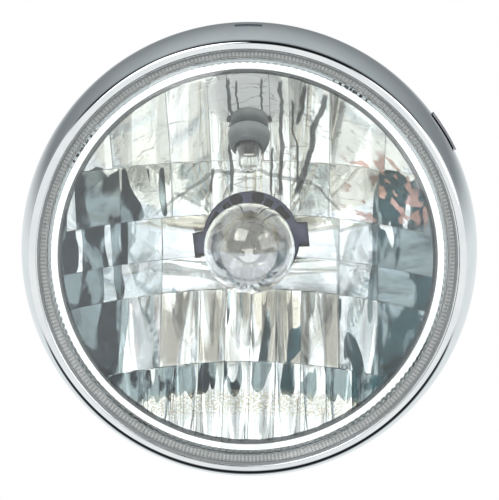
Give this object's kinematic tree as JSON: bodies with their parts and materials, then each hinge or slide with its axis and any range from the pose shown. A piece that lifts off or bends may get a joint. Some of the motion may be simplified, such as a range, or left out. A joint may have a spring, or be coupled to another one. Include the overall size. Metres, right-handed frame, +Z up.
{
  "type": "motorcycle headlight",
  "caption": "Round motorcycle headlight insert: chromed rim, clear domed lens, faceted mirror bowl, globe bulb in a keyed holder and a slanted parking lamp above it.",
  "frame": {"origin": "on the optical axis, in the plane of the rim's rear edge, where the lamp seats on the mouth of its shell", "axes": "the lamp looks along -Y, +Y points back into the shell, +Z is up as mounted, +X is to the right as seen from the front"},
  "size_m": [0.177, 0.0944, 0.177],
  "materials": {
    "chrome": "bright chrome plating on pressed steel",
    "clear_glass": "clear moulded glass",
    "bulb_glass": "clear thin bulb glass",
    "mirror_finish": "aluminised and lacquered moulding",
    "black_plastic": "black moulded heat-resistant plastic",
    "black_rubber": "soft black rubber",
    "grey_rubber": "satin grey rubber",
    "sealant": "grey adhesive sealant",
    "brass": "plain stamped brass",
    "nickel": "nickel-plated sheet and wire",
    "tungsten": "drawn dark grey wire",
    "spring_steel": "zinc-plated spring strip"
  },
  "bodies": {
    "root": {"rim": "chrome", "rim_gasket": "black_rubber", "lens": "clear_glass", "lens_sealant": "sealant", "reflector": "mirror_finish", "retaining_clips": "spring_steel", "side_clip": "spring_steel", "fixing_plate": "nickel", "bulb_holder": "black_plastic", "socket_shell": "nickel", "contact_plate": "black_plastic", "contact_spring": "spring_steel", "contact_studs": "brass", "terminals": "brass", "dust_boot": "black_rubber", "bulb_base": "nickel", "base_insulator": "black_plastic", "base_contacts": "nickel", "bulb_glass": "bulb_glass", "bulb_stem": "bulb_glass", "lead_wires": "nickel", "dip_shield": "nickel", "low_filament": "tungsten", "high_filament": "tungsten", "parking_holder": "grey_rubber", "parking_bulb": "bulb_glass", "parking_filament": "tungsten", "parking_terminals": "brass"}
  },
  "joints": []
}
